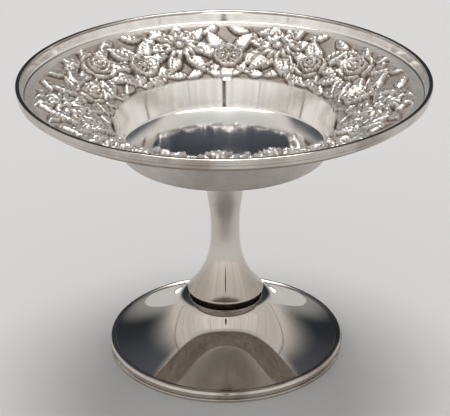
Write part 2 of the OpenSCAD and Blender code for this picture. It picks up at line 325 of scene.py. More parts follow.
def normal_at(s):
    """Unit normal of the inner face at a distance s along it, on its open side."""
    return unit(np.array([np.interp(s, dense_s, dense_normals[:, k]) for k in (0, 1)]))


def up_flange(share):
    """Distance along the path of a place that share of the way up the flange from the well's corner."""
    rounded_off = float(np.linalg.norm(path_at(flange_start_s) - bowl_corners[2]))
    return flange_start_s + flange_length * share - rounded_off


# The relief is a field of heights, in rows up the flange that run a little past the well's edge and the
# border. A place on it is a turn about the axis and a distance s along the path.
PAST_EDGE = 3.4
PAST_BORDER = 3.0
RELIEF_SCALE = 1.3
SEED = 7
relief_s = np.arange(edge_s - PAST_EDGE, border_s + PAST_BORDER, RELIEF_STEP)
relief_r = np.interp(relief_s, path_s, bowl_path[:, 0])
turn_step = 2 * math.pi / RELIEF_SEGMENTS
height = np.zeros((len(relief_s), RELIEF_SEGMENTS))
draw = np.random.default_rng(SEED)

# What every form of the relief has: a margin for what is round it, a soft edge and a chased line
MARGIN = 1.0
EDGE_SOFTNESS = 0.55
MOAT_WIDTH = 0.45
MOAT_DEPTH = 0.32


def near(turn, s, reach):
    """The relief's cells within reach of a place and a margin more, and their distances from it round and
    up the flange."""
    reach = reach + MARGIN
    rows = np.flatnonzero(np.abs(relief_s - s) <= reach)
    half = int(reach / (relief_r[rows].min() * turn_step)) + 1
    middle = int(round(turn / turn_step))
    steps = np.arange(middle - half, middle + half + 1)
    x = (steps * turn_step - turn)[None, :] * relief_r[rows][:, None]
    y = np.repeat((relief_s[rows] - s)[:, None], len(steps), 1)
    return np.ix_(rows, steps % RELIEF_SEGMENTS), x, y


def turned_by(x, y, heading):
    """The distances x and y along a direction heading and across it."""
    return x * math.cos(heading) + y * math.sin(heading), y * math.cos(heading) - x * math.sin(heading)


def place(turn, s, heading, distance):
    """The place a distance away round and up the flange."""
    radius = np.interp(s, relief_s, relief_r)
    return turn + distance * math.cos(heading) / radius, s + distance * math.sin(heading)


def lay(where, inside, top, moat=MOAT_DEPTH):
    """Lays a form over the relief. inside is the distance in from its edge, and moat the depth of the line
    round it."""
    cover = smooth(inside / EDGE_SOFTNESS + 0.5)
    line = hump(inside + MOAT_WIDTH, MOAT_WIDTH)
    height[where] = (height[where] - moat * line * (1 - cover)) * (1 - cover) + top * cover


def dome(turn, s, r, tall, flat=0.0, moat=MOAT_DEPTH, base=0.0):
    """A berry, bead or flower's eye."""
    where, x, y = near(turn, s, r)
    d = np.hypot(x, y) / r
    lay(where, (1 - d) * r, base + tall * crown(d, flat), moat)


# Petals: the sag of their sides as a share of their lift, the rolled edge in shares of the petal, and the
# creases, which fan out from behind its middle
PETAL_SAG = 0.3
PETAL_LIP = 0.25
ROLL_PLACE = 0.82
ROLL_WIDTH = 0.13
ROLL_START = -0.3
CREASES = 15
CREASE_H = 0.096
CREASE_OUT_SHARE = 0.9
CREASE_ALONG_SHARE = 0.2


def petal(turn, s, heading, out, across, along, base, lift, lip=PETAL_LIP):
    """A cupped petal with a rolled edge. Its middle is the distance out from the flower's centre in the
    direction heading, and across and along are half its width and length."""
    where, x, y = near(turn, s, out + along + across)
    p, q = turned_by(x, y, heading)
    p = p - out
    e = np.hypot(p / along, q / across)
    inside = (1 - e) * min(across, along)
    cup = lift * smooth((p / along + 1) / 2) - PETAL_SAG * lift * (q / across) ** 2
    roll = lip * hump(e - ROLL_PLACE, ROLL_WIDTH) * (p > ROLL_START * along)
    spread = np.arctan2(q, p + out * CREASE_OUT_SHARE + along * CREASE_ALONG_SHARE)
    crease = CREASE_H * np.cos(CREASES * spread) * smooth(e)
    lay(where, inside, base + cup + roll + crease)


# Rounds of a rose: the number of petals, their out, across and along as shares of the rose's radius, and
# their base and lift
ROSE_ROUNDS = (
    (5, 0.60, 0.50, 0.42, 1.0, 1.0),
    (5, 0.36, 0.38, 0.32, 1.9, 0.9),
    (3, 0.18, 0.27, 0.22, 2.6, 0.6))
ROSE_SWAY = (-0.12, 0.12)
ROSE_GROWTH = (0.92, 1.08)
HEART_SHARE = 0.15
HEART_H = 0.4
HEART_BASE = 3.0


def rose(turn, s, r, heading):
    """An open rose: three rounds of cupped petals round a tight heart."""
    for n, (count, out, across, along, base, lift) in enumerate(ROSE_ROUNDS):
        for k in range(count):
            toward = heading + 2 * math.pi * (k + 0.5 * n) / count + draw.uniform(*ROSE_SWAY)
            grow = draw.uniform(*ROSE_GROWTH)
            petal(turn, s, toward, out * r, across * r * grow, along * r * grow, base, lift)
    dome(turn, s, HEART_SHARE * r, HEART_H, base=HEART_BASE)


# Daisies: shares of the flower's radius, and heights of the petals and of the dimpled eye
DAISY_PETALS = 13
DAISY_LENGTH_SHARE = 0.80
DAISY_UNEVEN_SHARE = 0.05
DAISY_UNEVEN_TURN = 2.4
DAISY_HALF_SHARE = 0.17
DAISY_START_SHARE = 0.22
DAISY_REACH_SHARE = 0.52
DAISY_BASE = 1.15
DAISY_STEP = 0.22
DAISY_ROUND = 0.5
DAISY_RISE = 0.35
DAISY_GROOVE_SHARE = 0.06
DAISY_GROOVE = 0.22
DAISY_MOAT = 0.3
DAISY_EYE_SHARE = 0.27
DAISY_EYE_BASE = 1.35
DAISY_EYE_H = 0.75
DIMPLE_H = 0.16
DIMPLE_TURN = 5.2


def daisy(turn, s, r, heading):
    """A daisy: a ring of narrow petals, each with a groove, round a dimpled eye."""
    where, x, y = near(turn, s, r)
    half = DAISY_HALF_SHARE * r
    for k in range(DAISY_PETALS):
        p, q = turned_by(x, y, heading + 2 * math.pi * k / DAISY_PETALS)
        length = r * (DAISY_LENGTH_SHARE + DAISY_UNEVEN_SHARE * math.sin(k * DAISY_UNEVEN_TURN))
        middle = p - length / 2 - DAISY_START_SHARE * r
        e = np.hypot(middle / (length * DAISY_REACH_SHARE), q / half)
        groove = DAISY_GROOVE * hump(q, DAISY_GROOVE_SHARE * r)
        top = DAISY_BASE + DAISY_STEP * (k % 2) + DAISY_ROUND * np.clip(1 - e * e, 0, 1)
        lay(where, (1 - e) * half, top - groove + DAISY_RISE * smooth(p / r), DAISY_MOAT)
    eye = DAISY_EYE_SHARE * r
    d = np.hypot(x, y) / eye
    dimples = DIMPLE_H * np.sin(x * DIMPLE_TURN) * np.sin(y * DIMPLE_TURN)
    lay(where, (1 - d) * eye, DAISY_EYE_BASE + DAISY_EYE_H * crown(d) + dimples)


# Blossoms: the order in which the petals overlap, their out, across and along and the eye as shares of the
# flower's radius, heights, and the ring of beads round the eye
BLOSSOM_ORDER = (0, 2, 1, 3)
BLOSSOM_SHARES = (0.46, 0.62, 0.50)
BLOSSOM_BASE = 0.8
BLOSSOM_STEP = 0.3
BLOSSOM_LIFT = 1.15
BLOSSOM_LIP = 0.3
BLOSSOM_EYE_SHARE = 0.20
BLOSSOM_EYE_H = 0.6
BLOSSOM_EYE_BASE = 1.5
BEADS = 7
BEADS_OUT = 1.5
BEADS_R = 0.5
BEADS_H = 0.35
BEADS_BASE = 1.45
BEADS_MOAT = 0.1


def blossom(turn, s, r, heading):
    """A cupped blossom: four wide smooth petals round a beaded eye."""
    for k in BLOSSOM_ORDER:
        toward = heading + 2 * math.pi * k / len(BLOSSOM_ORDER)
        out, across, along = [share * r for share in BLOSSOM_SHARES]
        base = BLOSSOM_BASE + BLOSSOM_STEP * (k % 2)
        petal(turn, s, toward, out, across, along, base, BLOSSOM_LIFT, BLOSSOM_LIP)
    eye = BLOSSOM_EYE_SHARE * r
    dome(turn, s, eye, BLOSSOM_EYE_H, base=BLOSSOM_EYE_BASE)
    for k in range(BEADS):
        bead = place(turn, s, heading + 2 * math.pi * k / BEADS, BEADS_OUT * eye)
        dome(*bead, BEADS_R, BEADS_H, base=BEADS_BASE, moat=BEADS_MOAT)


# Leaves and buds: their outline, as powers that draw it to a point and fill it out
TIP = 0.001
LEAST_HALF = 0.05
FULLNESS = 0.8


def blade(p, q, length, half):
    """How far cells are from a pointed form's midline as a share of its half width, and how far inside it
    they are. p runs from 0 to 1 along it."""
    across = np.abs(q) / np.maximum(half, LEAST_HALF)
    return across, np.minimum(half - np.abs(q), np.minimum(p, 1 - p) * length)


# Leaves: the notches of their edge, how they swell between rib and edge, the veins' slant and groove, the
# rib, and the arch along them
LEAF_REACH = 0.62
LEAF_POINT = 0.72
NOTCH = 0.13
SWELL_PLACE = 0.55
SWELL_FALL = 3.2
SWELL_SHARES = (0.25, 0.6)
VEIN_SLANT = 0.9
VEIN_WIDTH = 0.16
VEIN_DEPTH = 0.28
VEIN_IN = 4
VEIN_OUT = 3
RIB_WIDTH = 0.42
RIB_H = 0.36
RIB_OUT = 4
LEAF_ARCH = 0.35


def leaf(turn, s, heading, length, width, bend=0.15, base=0.35, lift=0.95, teeth=6):
    """A veined leaf with a notched edge. turn and s are its middle."""
    where, x, y = near(turn, s, length * LEAF_REACH)
    p, q = turned_by(x, y, heading)
    p = p / length + 0.5
    q = q - 2 * bend * length * (p - 0.5) ** 2
    inner = np.clip(p, TIP, 1 - TIP)
    half = width / 2 * np.sin(math.pi * inner ** LEAF_POINT) ** FULLNESS
    half = half * (1 - NOTCH + NOTCH * (p * teeth % 1.0))
    e, inside = blade(p, q, length, half)
    swell = np.clip(1 - SWELL_FALL * (e - SWELL_PLACE) ** 2, 0, 1)
    side_vein = (p * teeth - e * VEIN_SLANT) % 1.0
    groove = hump(side_vein - 0.5, VEIN_WIDTH) * smooth(e * VEIN_IN) * smooth((1 - e) * VEIN_OUT)
    rib = hump(q, RIB_WIDTH) * smooth((1 - p) * RIB_OUT)
    arch = LEAF_ARCH * np.sin(math.pi * inner)
    top = base + lift * (SWELL_SHARES[0] + SWELL_SHARES[1] * swell) + arch
    lay(where, inside, top - VEIN_DEPTH * groove + RIB_H * rib)


# Buds: half their width as a share of their length, their height and taper, and their seams
BUD_REACH = 0.6
BUD_HALF_SHARE = 0.27
BUD_POINT = 0.6
BUD_BASE = 0.3
BUD_H = 1.5
BUD_TAPER = 0.7
BUD_SEAM_PLACE = 0.38
BUD_SEAM_WIDTH = 0.14
BUD_SEAM_DEPTH = 0.2
BUD_SEAM_START = 0.2
BUD_SEAM_IN = 3


def bud(turn, s, heading, length):
    """A closed bud, wide at its stalk and pointed at its tip, with two seams."""
    where, x, y = near(turn, s, length * BUD_REACH)
    p, q = turned_by(x, y, heading)
    p = np.clip(p / length + 0.5, TIP, 1 - TIP)
    half = length * BUD_HALF_SHARE * np.sin(math.pi * p ** BUD_POINT) ** FULLNESS
    e, inside = blade(p, q, length, half)
    seam = hump(e - BUD_SEAM_PLACE, BUD_SEAM_WIDTH) * smooth((p - BUD_SEAM_START) * BUD_SEAM_IN)
    tall = BUD_H * crown(e) * np.sin(math.pi * p ** BUD_TAPER)
    lay(where, inside, BUD_BASE + tall - BUD_SEAM_DEPTH * seam)


# The garland is laid from the ground up. First, small leaves along the well's edge and the border, as
# (length, width)
EDGING_LEANS = (0.35, 0.75)
EDGING_SWAY = (-0.8, 0.8)
EDGING_LOOK = {"bend": 0.2, "base": 0.15, "lift": 0.7, "teeth": 5}
EDGE_LEAF_UP = 2.0
EDGE_LEAF = (8.4, 4.2)
BORDER_LEAF_DOWN = 2.6
BORDER_LEAF = (9.6, 4.4)


def lay_edging():
    """Two rows of small leaves that lean to and fro."""
    for k in range(2 * FLOWERS):
        turn = math.pi * (k + 0.5) / FLOWERS
        lean = draw.uniform(*EDGING_LEANS) * (1 if k % 2 else -1)
        low_s = edge_s + EDGE_LEAF_UP + draw.uniform(*EDGING_SWAY)
        high_s = border_s - BORDER_LEAF_DOWN + draw.uniform(*EDGING_SWAY)
        leaf(turn, low_s, lean, *EDGE_LEAF, **EDGING_LOOK)
        leaf(turn, high_s, -lean, *BORDER_LEAF, **EDGING_LOOK)


# Then a stalk, laid as domes in a row, that waves between the flowers
STALK_R = 0.55
STALK_H = 0.75
STALK_FLAT = 0.25
STALK_MOAT = 0.03
STALK_STEP = 0.3
WAVE_STEPS = 240
WAVE_H = 6.0
WAVE_START = 0.5


def lay_stalk():
    """The waving stalk, all the way round."""
    points = []
    for k in range(WAVE_STEPS + 1):
        swing = WAVE_H * math.cos(math.pi * k / WAVE_STEPS * FLOWERS + WAVE_START)
        points.append((2 * math.pi * k / WAVE_STEPS + GARLAND_TURN, flange_mid - swing))
    for (t0, s0), (t1, s1) in zip(points[:-1], points[1:]):
        radius = np.interp((s0 + s1) / 2, relief_s, relief_r)
        steps = max(2, int(math.hypot((t1 - t0) * radius, s1 - s0) / STALK_STEP))
        for k in range(steps):
            share = k / steps
            dome(between(t0, t1, share), between(s0, s1, share), STALK_R, STALK_H, STALK_FLAT, STALK_MOAT)


# Then leaves fanned round each flower. Those whose middle falls off the flange are left out.
FAN_LEAVES = 7
FAN_SWAY = (-0.2, 0.2)
FAN_LENGTHS = (9.5, 13.0)
FAN_WIDTHS = (5.0, 6.6)
FAN_BENDS = (-0.35, 0.35)
FAN_BASES = (0.1, 0.4)
FAN_LIFT = 0.8
FAN_FLOWER_SHARE = 0.62
FAN_LEAF_SHARE = 0.36
FAN_PAST_EDGE = 0.5
FAN_PAST_BORDER = 0.2


def lay_fans():
    """The leaves that show from under each flower."""
    for turn, s, r, _ in flowers:
        start = draw.uniform(0, 2 * math.pi)
        for k in range(FAN_LEAVES):
            toward = start + 2 * math.pi * (k + draw.uniform(*FAN_SWAY)) / FAN_LEAVES
            length = draw.uniform(*FAN_LENGTHS)
            leaf_turn, leaf_s = place(turn, s, toward, r * FAN_FLOWER_SHARE + length * FAN_LEAF_SHARE)
            if edge_s - FAN_PAST_EDGE < leaf_s < border_s + FAN_PAST_BORDER:
                leaf(leaf_turn, leaf_s, toward, length, draw.uniform(*FAN_WIDTHS), draw.uniform(*FAN_BENDS),
                     base=draw.uniform(*FAN_BASES), lift=FAN_LIFT)


# Then berries and buds in the gaps, so far from the flange's middle
GAP_OUT = 8.6
BERRIES_EVERY = 3
BERRIES = 5
BERRIES_OUT = 1.7
BERRY_R = 1.25
BERRY_H = 1.35
TOP_BERRY_R = 1.3
TOP_BERRY_H = 1.9
BUD_ASIDE = 1.0
BUD_SWAY = (-0.9, 0.9)
BUD_LENGTHS = (6.0, 7.5)


def fill_gaps():
    """A heap of berries in every third gap, and a bud in the others."""
    for k in range(FLOWERS):
        turn = 2 * math.pi * (k + 0.5) / FLOWERS + GARLAND_TURN
        side = -1 if k % 2 else 1
        s = flange_mid - side * GAP_OUT
        if k % BERRIES_EVERY == 0:
            for n in range(BERRIES):
                dome(*place(turn, s, 2 * math.pi * n / BERRIES, BERRIES_OUT), BERRY_R, BERRY_H)
            dome(turn, s, TOP_BERRY_R, TOP_BERRY_H)
        else:
            heading = draw.uniform(*BUD_SWAY) - side * math.pi / 2
            bud(*place(turn, s, 0, BUD_ASIDE), heading, draw.uniform(*BUD_LENGTHS))


def lay_main_leaves():
    """The leaves that the bowl's solid has too."""
    for turn, s, r, side in flowers:
        for heading in LEAF_HEADINGS:
            toward = math.radians(heading) * -side
            middle = place(turn, s, toward, r * LEAF_START_SHARE + LEAF_L / 2)
            leaf(*middle, toward, LEAF_L * LEAF_L_GROWTH, LEAF_W * LEAF_W_GROWTH)


flower_kinds = [blossom, daisy, blossom, rose, rose, daisy]


def lay_flowers():
    """The flowers, over all the rest."""
    for k, (turn, s, r, _) in enumerate(flowers):
        flower_kinds[k % len(flower_kinds)](turn, s, r, math.pi / 2)


# Flowers as (turn, s, radius, side), where side is 1 for a high one and -1 for a low one
flowers = []
for k in range(FLOWERS):
    turn = 2 * math.pi * k / FLOWERS + GARLAND_TURN
    if k % 2:
        flowers.append((turn, up_flange(HIGH_SHARE), HIGH_FLOWER_R, 1))
    else:
        flowers.append((turn, up_flange(LOW_SHARE), LOW_FLOWER_R, -1))
lay_edging()
lay_stalk()
lay_fans()
fill_gaps()
lay_main_leaves()
lay_flowers()


def blurred(field, passes):
    """The field after so many small blurs, closed round the axis."""
    for _ in range(passes):
        field = (np.roll(field, 1, 1) + 2 * field + np.roll(field, -1, 1)) / 4
        edge = np.pad(field, ((1, 1), (0, 0)), mode="edge")
        field = (edge[:-2] + 2 * edge[1:-1] + edge[2:]) / 4
    return field


# The relief fades out towards the border, and on the wall in two stages, each with its share, where it
# starts past the well's edge and how far it runs
LOW_FADES = ((0.45, -1.6, 1.8), (0.55, 0.8, 5.5))
HIGH_FADE = 2.4
low_fade = sum(share * smooth((relief_s - (edge_s + start)) / run) for share, start, run in LOW_FADES)
high_fade = smooth((border_s + HIGH_FADE - relief_s) / HIGH_FADE)
height *= RELIEF_SCALE * (low_fade * high_fade)[:, None]
height = (height + blurred(height, 1)) / 2

# The relief's soft back under the bowl, its recesses near each line and wide round each form, where it
# tarnishes, and its ground, which is matted
BACK_BLURS = 9
BACK_SHARE = 0.85
NEAR_BLURS = 2
NEAR_DEPTH = 0.08
WIDE_BLURS = 12
WIDE_DEPTH = 0.65
WIDE_SHARE = 0.65
GROUND_TOP = 0.55
GROUND_RUN = 0.5
pressed = blurred(height, BACK_BLURS) * BACK_SHARE
near_recess = smooth((blurred(height, NEAR_BLURS) - height) / NEAR_DEPTH)
wide_recess = smooth((blurred(height, WIDE_BLURS) - height) / WIDE_DEPTH)
recess = np.clip(near_recess + WIDE_SHARE * wide_recess, 0, 1)
ground = smooth((GROUND_TOP - height) / GROUND_RUN)

# Spacing of the bowl's plain rows, which leave a small gap before the relief's, and runs over which its
# finish changes
FIRST_RING = 2.0
DISH_STEP = 1.5
BEND_STEP = 0.2
WALL_STEP = 1.2
BORDER_STEP = 0.6
TURNUP_STEP = 0.3
JOIN_GAP = 0.5
WALL_RUN = 1.5
TURNUP_RUN = 0.8
UNDER_RUN = 2.0
LOW_FADE_GAIN = 2.2

# How filmed, matt and brown the bowl's silver is, as its points carry it, because its floor is a clean
# mirror, its wall is turned and its ground is matted. Pairs are for a form's top and the ground, or for the
# underside within the well and outside it.
WALL_MATT = 0.07
RELIEF_FILM = (0.54, 0.94)
RELIEF_MATT = (0.17, 0.50)
BORDER_FILM = 0.6
BORDER_MATT = 0.2
TURNUP_MATT = 0.10
UNDER_FILM = (0.50, 0.85)
UNDER_MATT = (0.10, 0.26)
UNDER_BROWN = (0.28, 0.5)


def spaced(start, stop, step):
    return np.linspace(start, stop, max(2, int(round((stop - start) / step)) + 1))


inner_s = np.concatenate([spaced(FIRST_RING, dish_s, DISH_STEP)[:-1], spaced(dish_s, wall_s, BEND_STEP)[:-1],
                          spaced(wall_s, relief_s[0] - JOIN_GAP, WALL_STEP)])
outer_s = np.concatenate([spaced(relief_s[-1] + JOIN_GAP, rise_s, BORDER_STEP)[:-1],
                          spaced(rise_s, top_s, TURNUP_STEP)])
under_s = np.concatenate([outer_s[::-1], relief_s[::-2], inner_s[::-1]])


def build_bowl():
    """The bowl's skin: relief rows of many segments between plain rows of few, from the floor's middle up
    to the edge and back underneath."""
    rings, films, matts, browns = [], [], [], []

    def add(s, segments, lift, film, matt, brown=0):
        turn = np.linspace(0, 2 * math.pi, segments, endpoint=False)
        base = path_at(s)
        normal = normal_at(s)
        lift = lift + np.zeros(segments)
        r = base[0] + normal[0] * lift
        rings.append(np.stack([r * np.cos(turn), r * np.sin(turn), base[1] + normal[1] * lift], 1))
        films.append(film + np.zeros(segments))
        matts.append(matt + np.zeros(segments))
        browns.append(brown + np.zeros(segments))

    for s in inner_s:
        add(s, PLAIN_SEGMENTS, 0, 0, WALL_MATT * smooth((s - dish_s) / WALL_RUN))
    for i, s in enumerate(relief_s):
        share = smooth(low_fade[i] * LOW_FADE_GAIN)
        film = between(BORDER_FILM, between(*RELIEF_FILM, ground[i]) * share, high_fade[i])
        matt = between(BORDER_MATT, between(*RELIEF_MATT, ground[i]), high_fade[i])
        brown = recess[i] * share * high_fade[i]
        add(s, RELIEF_SEGMENTS, height[i], film, between(WALL_MATT, matt, share), brown)
    for s in outer_s:
        share = smooth((s - rise_s) / TURNUP_RUN)
        add(s, PLAIN_SEGMENTS, 0, BORDER_FILM * (1 - share), between(BORDER_MATT, TURNUP_MATT, share))
    for s in under_s:
        lift = 0
        if relief_s[0] <= s <= relief_s[-1]:
            i = int(round((s - relief_s[0]) / RELIEF_STEP))
            highest = height[i] + SHEET - LEAST_SHEET
            lift = np.minimum(pressed[i], highest)[::RELIEF_SEGMENTS // PLAIN_SEGMENTS]
        outward = smooth((s - edge_s) / UNDER_RUN + 0.5)
        film, matt, brown = [between(*pair, outward) for pair in (UNDER_FILM, UNDER_MATT, UNDER_BROWN)]
        add(s, PLAIN_SEGMENTS, lift - SHEET, film, matt, brown)

    starts = np.cumsum([0] + [len(ring) for ring in rings]).tolist()
    points = np.concatenate(rings + [[[0, 0, floor_z]], [[0, 0, floor_z - SHEET]]])
    faces = []
    for a, b, ring, above in zip(starts, starts[1:], rings, rings[1:]):
        if len(ring) == len(above):
            faces += ring_faces(a, b, len(ring))
        elif len(ring) < len(above):
            faces += uneven_ring_faces(b, a, len(ring), flip=False)
        else:
            faces += uneven_ring_faces(a, b, len(above), flip=True)
    j = np.arange(PLAIN_SEGMENTS)
    k = (j + 1) % PLAIN_SEGMENTS
    faces += fan_faces(len(points) - 2, k, j)
    faces += fan_faces(len(points) - 1, starts[-2] + j, starts[-2] + k)
    piece = new_piece("bowl_chased", points * MM, faces, BOWL_SHARP)
    layers = {"film": (films, UNDER_FILM), "matt": (matts, UNDER_MATT), "brown": (browns, UNDER_BROWN)}
    for name, (values, under) in layers.items():
        layer = piece.data.attributes.new(name, "FLOAT", "POINT")
        layer.data.foreach_set("value", np.concatenate(values + [[0, under[0]]]).astype(np.float32))
    return piece


# Rim wire: a bead over two grooved bands, hooked over the turned-up edge
def rim_outline():
    rim_h = rim_high.z - rim_low.z
    bead_r = RIM_WIRE_W / 2
    centre = point(rim_high.x - bead_r, rim_high.z - bead_r)
    half = rim_h * GROOVE_HALF_SHARE
    low_groove, high_groove = [rim_low.z + rim_h * share for share in GROOVE_SHARES]
    low_r, mid_r = [rim_high.x - RIM_WIRE_W * share for share in BAND_SHARES]
    lean = unit(point(TURNUP_LEAN, TURNUP_H))
    outer_top = point(turnup_r, turnup_z) + SHEET * point(lean[1], -lean[0])
    inside_low = outer_top + lean * (rim_low.z - outer_top[1]) / lean[1]
    soft = 2 * half
    lip = GROOVE_LIP_SHARE * half
    bead_low = math.degrees(math.asin((high_groove + half - centre[1]) / bead_r))
    bead = arc(centre, bead_r, bead_low, 180, RIM_BEAD_STEPS) - centre
    bead = centre + bead_r * np.sign(bead) * np.abs(bead / bead_r) ** BEAD_SQUARENESS
    return np.concatenate([
        [inside_low],
        arc(point(low_r - soft, rim_low.z + soft), soft, -90, 0, SOFT_STEPS),
        arc(point(low_r - half, low_groove - soft), half, 0, LOW_GROOVE_TURN, GROOVE_STEPS),
        [[mid_r - RIM_GROOVE, low_groove]],
        arc(point(mid_r - half, low_groove + lip), half, -MID_GROOVE_TURN, 0, GROOVE_STEPS),
        arc(point(mid_r - half, high_groove - lip), half, 0, MID_GROOVE_TURN, GROOVE_STEPS),
        [[mid_r - RIM_GROOVE, high_groove]],
        bead,
        [[turnup_r, turnup_z]],
        [outer_top]])


# Stem: two curves that meet at the waist, a rolled lip and the sheet's inner side
def stem_outline():
    lip_z, top_z = stem_low.z, stem_high.z
    stem_h = top_z - lip_z
    lip_r = stem_high.x
    lip_round = LIP_H * LIP_ROUND_SHARE
    top = point(STEM_TOP_D / 2, top_z)
    waist = point(WAIST_D / 2, lip_z + stem_h * WAIST_SHARE)
    rise = waist[1] - lip_z
    lip_start = point(lip_r, lip_z + LIP_H) - lip_round * LIP_START_SHARE
    neck = point(between(waist[0], top[0], UPPER_NECK_SHARE), top_z - stem_h * UPPER_REACH_SHARES[0])
    upper = cubic(top, neck, waist + point(0, stem_h * UPPER_REACH_SHARES[1]), waist, STEM_STEPS)
    flare_out, flare_up = LOWER_FLARE_SHARES
    flare = point(between(waist[0], lip_start[0], flare_out), lip_z + rise * flare_up)
    lower = cubic(waist, waist - point(0, rise * LOWER_REACH_SHARE), flare, lip_start, STEM_STEPS)
    side = np.concatenate([upper, lower[1:]])
    inside = side - left_normals(side) * STEM_SHEET
    inside = inside[(inside[:, 1] > lip_z + STEM_SHEET) & (inside[:, 1] < top_z)][::-1]
    return np.concatenate([
        side,
        arc(point(lip_r - lip_round, lip_z + lip_round), lip_round, LIP_TURN, -90, LIP_STEPS),
        [[TURNIN_D / 2, lip_z], [TURNIN_D / 2, lip_z + STEM_SHEET], [inside[0][0], lip_z + STEM_SHEET]],
        inside,
        [[STEM_TOP_D / 2 - STEM_SHEET, top_z]]])


# Foot: a hollow curve from the skirt up to a soft shoulder and a flat top
skirt_r = foot_high.x


def foot_outline():
    top_z = foot_high.z
    skirt_top = point(skirt_r, SKIRT_H)
    shoulder = point(SHOULDER_D / 2, top_z - SHOULDER_DROP)
    span = shoulder - skirt_top
    low_bend = skirt_top + span * FOOT_LOW_SHARES
    high_bend = shoulder - span * FOOT_HIGH_SHARES
    curve = cubic(skirt_top, low_bend, high_bend, shoulder, FOOT_STEPS)
    curve = curve[curve[:, 1] < top_z - SHOULDER_ROUND]
    shoulder_bend = at_height(curve[-2], curve[-1], top_z)
    shoulder_end = shoulder_bend - point(SHOULDER_ROUND * SHOULDER_TOP_SHARE, 0)
    side = np.concatenate([curve, quadratic(curve[-1], shoulder_bend, shoulder_end, SHOULDER_STEPS)[1:]])
    inside = side + left_normals(side) * FOOT_SHEET
    inside = inside[inside[:, 0] < skirt_r - FOOT_SHEET][::-1]
    return np.concatenate([
        [[skirt_r, 0]],
        side,
        [[FOOT_HOLE_D / 2, top_z], [FOOT_HOLE_D / 2, top_z - FOOT_SHEET]],
        inside,
        [[skirt_r - FOOT_SHEET, inside[-1][1]], [skirt_r - FOOT_SHEET, 0]]])


# Foot wire: a round bead over a thin fillet
def foot_wire_outline():
    foot_r = foot_wire_high.x
    across = foot_r - BEAD_R - skirt_r
    centre = point(foot_r - BEAD_R, SKIRT_H - math.sqrt(BEAD_R ** 2 - across ** 2))
    fillet_r = foot_r - BEAD_R * FILLET_BACK_SHARE
    soft = FILLET_H * FILLET_ROUND_SHARE
    bead_top = 180 - math.degrees(math.acos(across / BEAD_R))
    bead_low = -math.degrees(math.asin((centre[1] - FILLET_H - soft) / BEAD_R))
    return np.concatenate([
        [[skirt_r, 0]],
        arc(point(fillet_r - soft, soft), soft, -90, 0, SOFT_STEPS),
        arc(point(fillet_r - soft, FILLET_H - soft), soft, 0, 90, SOFT_STEPS),
        arc(centre, BEAD_R, bead_low, bead_top, FOOT_BEAD_STEPS)])


# Materials
class Nodes:
    """Short calls that add nodes to a material or world."""

    def __init__(self, tree):
        self.tree = tree
        tree.nodes.clear()

    def add(self, kind, **settings):
        node = self.tree.nodes.new(kind)
        for name, value in settings.items():
            setattr(node, name, value)
        return node

    def link(self, source, target):
        self.tree.links.new(source, target)

    def feed(self, socket, value):
        if isinstance(value, bpy.types.NodeSocket):
            self.link(value, socket)
        else:
            socket.default_value = value

    def math(self, operation, a, b=0.0, clamp=False):
        node = self.add("ShaderNodeMath", operation=operation, use_clamp=clamp)
        self.feed(node.inputs[0], a)
        self.feed(node.inputs[1], b)
        return node.outputs[0]

    def plus(self, a, b, clamp=False):
        return self.math("ADD", a, b, clamp)

    def minus(self, a, b):
        return self.math("SUBTRACT", a, b)

    def times(self, a, b):
        return self.math("MULTIPLY", a, b)

    def ramp(self, value, low, high, out_low=0.0, out_high=1.0):
        node = self.add("ShaderNodeMapRange", interpolation_type="SMOOTHSTEP")
        for socket, given in zip(node.inputs, (value, low, high, out_low, out_high)):
            self.feed(socket, given)
        return node.outputs[0]

    def mix(self, share, a, b):
        node = self.add("ShaderNodeMix", data_type="RGBA")
        self.feed(node.inputs["Factor"], share)
        self.feed(node.inputs[6], a)
        self.feed(node.inputs[7], b)
        return node.outputs[2]

    def noise(self, vector, scale, detail=3.0, roughness=0.5, distortion=0.0):
        node = self.add("ShaderNodeTexNoise")
        self.link(vector, node.inputs["Vector"])
        node.inputs["Scale"].default_value = scale
        node.inputs["Detail"].default_value = detail
        node.inputs["Roughness"].default_value = roughness
        node.inputs["Distortion"].default_value = distortion
        return node.outputs["Fac"]

    def bump(self, height, distance):
        node = self.add("ShaderNodeBump")
        node.inputs["Distance"].default_value = distance
        self.link(height, node.inputs["Height"])
        return node.outputs["Normal"]

    def carried(self, name):
        """A value that the mesh's points carry."""
        return self.add("ShaderNodeAttribute", attribute_name=name).outputs["Fac"]


def new_material(name, metallic):
    """A new material, its nodes and the inputs of its shader."""
    material = bpy.data.materials.new(name)
    material.use_nodes = True
    n = Nodes(material.node_tree)
    shader = n.add("ShaderNodeBsdfPrincipled")
    shader.inputs["Metallic"].default_value = metallic
    n.link(shader.outputs["BSDF"], n.add("ShaderNodeOutputMaterial").inputs["Surface"])
    return material, n, shader.inputs


# Noises of the silver, as (scale, detail, roughness, distortion), and the ranges of them that count. A
# range of four goes on with what it becomes at its ends.
PATCHES = (38.0, 4.0, 0.6)
PATCH_RANGE = (0.42, 0.78)
PATCHED_FILM = (0.25, 0.7, 0.85, 1.1)
SPECKS = (900.0, 2.0, 0.6)
SPECK_RANGE = (0.62, 0.8)
SPECK_SHARE = 0.5
WEAR = (160.0, 5.0, 0.7)
WEAR_RANGE = (0.35, 0.75)
WORN_ROUGHNESS = 1.6
WORN_BROWN = (0.3, 0.7, 0.7, 1.3)
SWIRLS = (620.0, 2.0, 0.5, 1.0)
SWIRL_LINE = 0.03
SWIRL_MATT_RANGE = (0.24, 0.42)
SWIRL_BROWN = 0.5
SWIRL_DEPTH = 0.08
UNEVEN = (60.0, 1.0, 0.4)
GRAIN = (2600.0, 2.0, 0.5)
GRAIN_DEPTH = 0.0006
FILM_RANGE = (0.0, 0.3)
